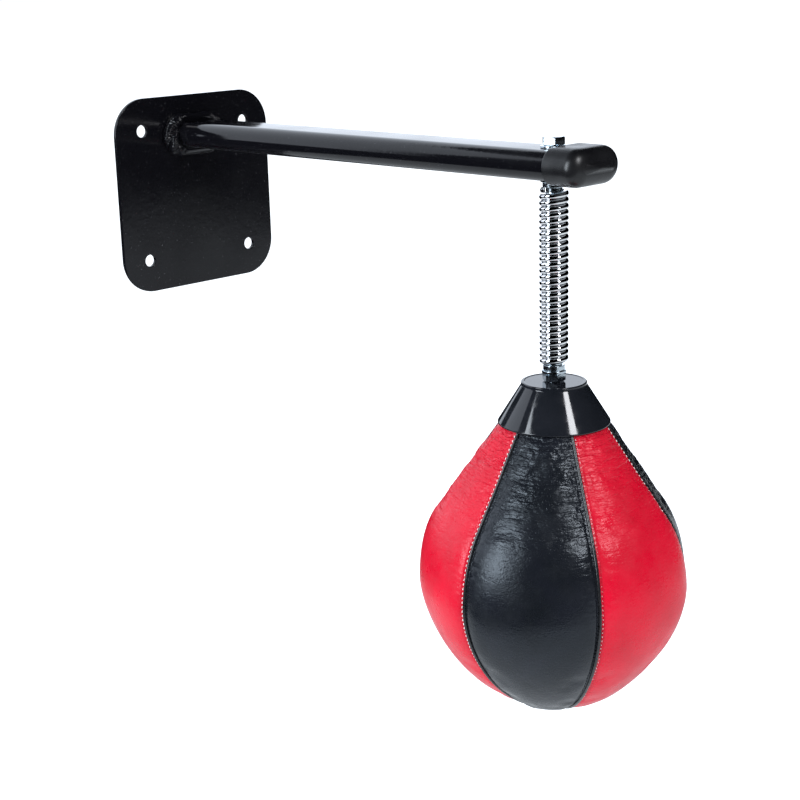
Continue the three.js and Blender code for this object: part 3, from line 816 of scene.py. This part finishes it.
def inflated_skin(profile):
    """Swells a held cloth skin with air, and returns a grid of heights for each panel."""
    first_row = int(np.argmax(profile[:, 1] < COLLAR_FOOT))
    rows = np.linspace(first_row, ROWS - 1, CLOTH_ROWS).round().astype(int)
    columns = PANEL_COUNT * CLOTH_STEPS
    start = FIRST_PANEL - PANEL_ANGLE / 2
    turns = [start + TAU * k / columns for k in range(columns)]
    sites = [surface_point(profile, row, turn) for row in rows for turn in turns]
    swell = np.zeros(len(sites))
    faces = [face[::-1] for face in grid_faces(CLOTH_ROWS, columns)]
    skin = new_piece("bag_skin_cloth", [point for point, _ in sites], faces, "black_leather")
    moved = blow_up(skin, held_points(profile, rows, columns))
    swell = np.array([(there - point).dot(normal) for there, (point, normal) in zip(moved, sites)])
    swell = np.clip(swell, -MOST_SWELL, MOST_SWELL).reshape(CLOTH_ROWS, columns)
    wrapped = np.concatenate([swell, swell[:, :1]], axis=1)
    firsts = range(0, columns, CLOTH_STEPS)
    return [panel_heights(wrapped[:, first:first + CLOTH_STEPS + 1], rows) for first in firsts]


def held_points(profile, rows, columns):
    """The cloth points that stay put: the seams, the two rows at the collar and the tip."""
    held = []
    for i in range(len(rows) * columns):
        row, column = divmod(i, columns)
        at_seam = column % CLOTH_STEPS == 0
        at_tip = profile[rows[row], 0] < HELD_TIP_RADIUS
        if at_seam or row < 2 or at_tip:
            held.append(i)
    return held


def blow_up(skin, held):
    """Runs the cloth, returns where its points end up, and removes it."""
    group = skin.vertex_groups.new(name="held")
    group.add(held, 1.0, "REPLACE")
    cloth = skin.modifiers.new("air", "CLOTH")
    cloth.point_cache.frame_end = CLOTH_FRAMES
    settings = cloth.settings
    settings.vertex_group_mass = "held"
    settings.use_pressure = True
    settings.uniform_pressure_force = 4
    settings.effector_weights.gravity = 0
    settings.quality = 8
    settings.tension_stiffness = 25
    settings.compression_stiffness = 25
    settings.shear_stiffness = 12
    settings.bending_stiffness = 0.4
    settings.shrink_min = -0.011  # the cloth is cut 1.1 % too large, so the air can swell it
    for step in range(1, CLOTH_FRAMES + 1):
        bpy.context.scene.frame_set(step)
    result = skin.evaluated_get(bpy.context.evaluated_depsgraph_get())
    moved = [v.co.copy() for v in result.data.vertices]
    bpy.data.objects.remove(skin)
    bpy.context.scene.frame_set(1)
    return moved


def panel_heights(coarse, rows):
    """A panel's cloth heights on every profile row, without the corners of the coarse cloth."""
    steps = np.arange(CLOTH_STEPS + 1)
    fine_steps = np.linspace(0, CLOTH_STEPS, PANEL_COLUMNS + 1)
    wide = np.array([np.interp(fine_steps, steps, row) for row in coarse])
    fine = np.array([np.interp(np.arange(ROWS), rows, column) for column in wide.T]).T
    for _ in range(8):
        fine[:, 1:-1] = (fine[:, :-2] + fine[:, 2:] + 2 * fine[:, 1:-1]) / 4
        padded = np.pad(fine, ((1, 1), (0, 0)), mode="edge")
        fine = (padded[:-2] + padded[2:] + 2 * fine) / 4
    return fine


def crease(point, scale, stretch, seed):
    """A field of thin valleys, from 0 to 1, longer round the bag than down it."""
    warped = Vector((point.x, point.y, point.z * stretch)) * scale + Vector((seed, 0, 0))
    warped += noise.noise_vector(warped * 0.7) * 0.8
    return (1 - min(abs(noise.noise(warped)) * 3.2, 1)) ** 2


def creases(point, layers):
    """The depth at a point of layers of creases that are given as (depth, scale, stretch, seed)."""
    return sum(depth * crease(point, *pattern) for depth, *pattern in layers)


def wrinkles(point, across):
    """How far the leather stands out from the inflated shape; across is 0 to 1 from seam to seam."""
    below_collar = COLLAR_FOOT - point.z
    tight = math.exp(-((below_collar / (20 * MM)) ** 2))
    upper = band(below_collar, 2 * MM, 14 * MM, 45 * MM, 110 * MM)
    edge = smoothstep(abs(across - 0.5) * 2, 0.55, 0.98) * smoothstep(below_collar, 0, 20 * MM)
    edge *= 1 - 0.75 * smoothstep(below_collar, 90 * MM, 170 * MM)
    depth = tight * creases(point, COLLAR_CREASES) + upper * creases(point, UPPER_CREASES)
    depth += edge * creases(point, EDGE_CREASES)
    return slack(point) - depth


def slack(point):
    """Gentle unevenness of the whole skin, seams and all."""
    return noise.noise(point * 16) * 0.9 * MM * smoothstep(COLLAR_FOOT - point.z, 0, 40 * MM)


def swellings(degrees, places):
    """The height at an angle of swellings that are given as (height, middle, half width)."""
    return sum(h * math.exp(-(((degrees - middle) / width) ** 2)) for h, middle, width in places)


def uneven_stuffing(angle, z):
    """Broad swellings and a hollow, where the bladder doesn't fill the bag evenly."""
    degrees = math.degrees(angle) % 360
    middle = band(z, BAG_TIP + 35 * MM, BAG_CENTRE, BAG_CENTRE + 60 * MM, COLLAR_FOOT)
    shoulder_end = COLLAR_FOOT - 3 * MM
    shoulder = band(z, BAG_CENTRE + 10 * MM, BAG_CENTRE + 60 * MM, COLLAR_FOOT - 25 * MM, shoulder_end)
    return swellings(degrees, MIDDLE_SWELLINGS) * middle + swellings(degrees, SHOULDER_SWELLINGS) * shoulder


def seam_shape(distance, along):
    """The panel's edge: it rolls down beside the piping, and the thread pulls it into small puckers."""
    roll = math.exp(-((distance / (2.2 * MM)) ** 2)) * 1.9 * MM
    valley = math.exp(-((distance / (9 * MM)) ** 2)) * 1.1 * MM
    pucker = math.exp(-distance / (3.2 * MM)) * 0.45 * MM * math.cos(TAU * along / STITCH_PITCH)
    return pucker - roll - valley


def relief_share(radius):
    """How much of the seams' and wrinkles' depth is left: 1, then less where the panels narrow to the tip."""
    return min(radius / (30 * MM), 1)


def outside_collar(z):
    """0 inside the collar and 1 from 3 mm below its foot."""
    return smoothstep(COLLAR_FOOT - z, 0, 3 * MM)


def panel_row(profile, row, middle, heights):
    """A row of a panel: its outer side from seam to seam, then its plain inner side back again."""
    radius, z = profile[row]
    half = PANEL_ANGLE / 2 - min(SEAM_HALF_GAP / radius, PANEL_ANGLE * 0.08)
    outer, inner = [], []
    for column in range(PANEL_COLUMNS + 1):
        t = column / PANEL_COLUMNS
        spread = 0.5 + math.sin((t - 0.5) * math.pi) * 0.5
        across = t * 0.55 + spread * 0.45  # the columns lie closer together towards the seams
        angle = middle + half * (2 * across - 1)
        base, normal = surface_point(profile, row, angle)
        distance = min(across, 1 - across) * 2 * half * radius
        relief = seam_shape(distance, row * row_spacing(profile)) + wrinkles(base, across)
        relief += float(np.interp(across * PANEL_COLUMNS, range(PANEL_COLUMNS + 1), heights))
        lift = relief * relief_share(radius) + uneven_stuffing(angle, z)
        outer.append(base + normal * lift * outside_collar(z))
        if column % INNER_STEP == 0:
            inner.append(base - normal * LEATHER)
    return outer + inner[::-1]


def leather_panel(index, profile, heights):
    """One gore: a double skin whose outer side carries the wrinkles and whose edges turn in at the seams."""
    middle = FIRST_PANEL + index * PANEL_ANGLE
    colour = "black" if index % 2 == 0 else "red"
    name = f"{colour}_panel_{index // 2 + 1}"
    rings = [panel_row(profile, row, middle, heights[row]) for row in range(ROWS)]
    piece = tube_piece(f"{name}_leather", rings, f"{colour}_leather", smooth_angle=75)
    weld_doubles(piece)
    declare(piece, "bag", f"{colour}_leather", name)


def seam_path(index, profile, lift_at_row, turn=0.0):
    """Points and outward normals along a seam, from under the collar to the tip."""
    seam = FIRST_PANEL + (index + 0.5) * PANEL_ANGLE
    path = []
    for row in range(1, ROWS - 1):
        radius, z = profile[row]
        if z > COLLAR_FOOT + 6 * MM or radius < 4 * MM:
            continue
        angle = seam + turn / radius
        base, normal = surface_point(profile, row, angle)
        lift = (lift_at_row(row) + slack(base)) * relief_share(radius) * outside_collar(z)
        lift += uneven_stuffing(angle, z)
        path.append((base + normal * lift, normal))
    return path


def cord_ring(centre, along, normal, radius, sides):
    """Points round a cord that runs along a surface with the given normal."""
    side = along.cross(normal).normalized()
    turns = [TAU * k / sides for k in range(sides)]
    return [centre + (normal * math.sin(a) + side * math.cos(a)) * radius for a in turns]


def seam_piping(index, profile):
    """The rolled cord between two panels, pinched a little at every stitch and thinner at the tip."""
    cord_radius, pinch, sunk_by = 1.45 * MM, 0.1 * MM, 1.7 * MM
    path = seam_path(index, profile, lambda row: -sunk_by)
    rings = []
    for i, (centre, normal) in enumerate(path):
        ahead, behind = path[min(i + 1, len(path) - 1)][0], path[max(i - 1, 0)][0]
        radius = cord_radius + pinch * math.cos(TAU * i * row_spacing(profile) / STITCH_PITCH)
        radius *= 0.35 + 0.65 * smoothstep(len(path) - i, 0, 12)
        rings.append(cord_ring(centre, (ahead - behind).normalized(), normal, radius, sides=12))
    piece = tube_piece(f"seam_piping_rolled_{index + 1}", rings, "piping_leather", smooth_angle=80)
    weld_doubles(piece)
    declare(piece, "bag", "piping_leather", f"seam_piping_{index + 1}")


def walk(path):
    """The length of a path, and a function that gives its point and normal at any length."""
    lengths = [0.0]
    for (a, _), (b, _) in zip(path, path[1:]):
        lengths.append(lengths[-1] + (b - a).length)
    centres = np.array([point for point, _ in path])
    normals = np.array([normal for _, normal in path])

    def at(length):
        point = Vector([float(np.interp(length, lengths, centres[:, k])) for k in range(3)])
        normal = Vector([float(np.interp(length, lengths, normals[:, k])) for k in range(3)])
        return point, normal.normalized()

    return lengths[-1], at


def stitch_rings(at, start, most_radius):
    """One thread: it comes up out of the leather, arches along the path and dips in again."""
    steps, tip_radius = 8, 0.1 * MM
    rings = []
    for i in range(steps + 1):
        t = i / steps
        length = start + STITCH_PITCH * 0.6 * t
        point, normal = at(length)
        ahead, _ = at(length + 0.2 * MM)
        arch = math.sin(math.pi * t)
        centre = point + normal * (arch**0.6 - 0.45) * 0.5 * MM
        radius = tip_radius + (most_radius - tip_radius) * arch**0.5
        rings.append(cord_ring(centre, (ahead - point).normalized(), normal, radius, STITCH_SIDES))
    return rings


def seam_stitches(index, profile):
    """White topstitches on the red side of a seam; on every other seam they are pulled in deeper."""
    pulled_in = index % 2 == 0
    height, most_radius = (-0.15 * MM, 0.2 * MM) if pulled_in else (0.25 * MM, 0.34 * MM)
    offset = 1.6 * MM
    turn = (SEAM_HALF_GAP + offset) * (1 if pulled_in else -1)
    spacing = row_spacing(profile)
    path = seam_path(index, profile, lambda row: height + seam_shape(offset, row * spacing), turn)
    whole_length, at = walk([(point, normal) for point, normal in path if point.z < COLLAR_FOOT - 2 * MM])
    vertices, faces = [], []
    for n in range(int(whole_length / STITCH_PITCH)):
        rings = stitch_rings(at, (n + 0.17) * STITCH_PITCH, most_radius)
        first = len(vertices)
        faces += [tuple(first + v for v in face) for face in tube_faces(len(rings), STITCH_SIDES)]
        vertices += [point for ring in rings for point in ring]
    piece = new_piece(f"seam_stitches_{index + 1}", vertices, faces, "stitch_thread", smooth_angle=80)
    declare(piece, "bag", "red_leather")


def bag():
    profile = bag_profile()
    skin = inflated_skin(profile)
    for index in range(PANEL_COUNT):
        leather_panel(index, profile, skin[index])
        seam_piping(index, profile)
        seam_stitches(index, profile)


# ---- Assembly ----


def paint_carried_over_nodes():
    """Gives the CAD's own solids, such as the parts inside the collar, the procedural materials too."""
    for part in frame["record"]["subparts"]:
        node = frame["nodes"][part["node"]]
        node.data.materials.clear()
        node.data.materials.append(MATERIALS[part["material_slot"]])


paint_carried_over_nodes()
wall_plate()
arm_tube()
weld_bead()
end_cap()
fasteners()
spring()
bag_collar()
bag()

# ---- Camera, floor and light ----


def camera():
    """The photo's viewpoint: in front and to the left of the plate, looking down at the bag."""
    heading, drop, roll = (math.radians(a) for a in (-44.89, 15.26, -1.556))
    data = bpy.data.cameras.new("camera")
    data.lens = 72.29
    data.sensor_width = 36
    data.clip_end = 200
    made = bpy.data.objects.new("camera", data)
    bpy.context.scene.collection.objects.link(made)
    made.matrix_world = (
        Matrix.Translation((-1.0572, -1.3614, 0.2278))
        @ Matrix.Rotation(heading, 4, "Z")
        @ Matrix.Rotation(math.pi / 2 - drop, 4, "X")
        @ Matrix.Rotation(roll, 4, "Z")
    )
    bpy.context.scene.camera = made


def softbox(name, location, target, width, height, radiance, color):
    """A rectangular area light, given by how bright its face looks."""
    light = bpy.data.lights.new(name, "AREA")
    light.shape = "RECTANGLE"
    light.size = width
    light.size_y = height
    light.energy = radiance * math.pi * width * height
    light.color = color
    made = bpy.data.objects.new(name, light)
    bpy.context.scene.collection.objects.link(made)
    made.visible_camera = False
    made.location = location
    made.rotation_euler = (Vector(target) - Vector(location)).to_track_quat("-Z", "Y").to_euler()


def glowing(name, color, strength):
    """A dull, faintly mottled surface that gives off cool light of its own."""
    made = NodeMaterial(name, color, 0.9, Specular_IOR_Level=0.0)
    lighter = tuple(min(c * 1.02, 1) for c in color)
    made.color_from(made.noise(3, detail=2), (0.3, color), (0.7, lighter))
    made.shader.inputs["Emission Color"].default_value = (0.86, 0.93, 1, 1)
    made.shader.inputs["Emission Strength"].default_value = strength
    made.material.cycles.emission_sampling = "NONE"
    return made.material


def stage_surface(name, corners, z, material):
    """A level polygon of the studio, which isn't part of the object."""
    data = bpy.data.meshes.new(name)
    data.from_pydata([(x, y, 0) for x, y in corners], [], [tuple(range(len(corners)))])
    data.materials.append(material)
    made = bpy.data.objects.new(name, data)
    made.location.z = z
    bpy.context.scene.collection.objects.link(made)
    return made


def floor():
    """A wide pale floor, lit from within so that it stays as pale as the studio behind it."""
    rim = circle(Vector((0, 0)), 60, steps=128)[::-1]
    made = stage_surface("floor", rim, FLOOR_Z, glowing("pale_floor", (0.9, 0.91, 0.93), 0.45))
    made.location.y = AXIS.y
    made.visible_glossy = False


def reflected_table():
    """The pale table top that glossy parts mirror; it lies to the right, not under the camera."""
    left, right, near, far = -0.9, 3.6, -4.8, 1.0
    corners = [(left, near), (right, near), (right, far), (left, far)]
    glow = glowing("table_reflection", (0.1, 0.1, 0.1), 0.7)
    made = stage_surface("table_reflection", corners, FLOOR_Z + 1 * MM, glow)
    made.visible_camera = False
    made.visible_diffuse = False
    made.visible_shadow = False


def world():
    """An even white sky for soft fill, which glossy surfaces don't mirror."""
    made = bpy.data.worlds.new("studio")
    made.use_nodes = True
    background = made.node_tree.nodes["Background"]
    background.inputs["Color"].default_value = (0.96, 0.98, 1, 1)
    background.inputs["Strength"].default_value = 1.05
    made.cycles_visibility.glossy = False
    bpy.context.scene.world = made


def lights():
    """A broad cool panel behind, a tall window at the left and a small lamp in front, high up."""
    softbox("back_panel", (1.3, 2.6, 1.6), (1.3, 0, 1.6), 8.5, 3.4, 1.75, (0.82, 0.89, 1.0))
    softbox("window", (-1.9, 0.05, 0.55), (0, -0.49, -0.3), 0.8, 1.5, 10.0, (0.84, 0.92, 1.0))
    softbox("strip", (-0.1, -2.0, 1.35), (0, -0.49, -0.15), 0.45, 0.8, 20.0, (0.95, 0.96, 1.0))


camera()
floor()
reflected_table()
world()
lights()
bpy.context.scene.view_settings.view_transform = "Standard"
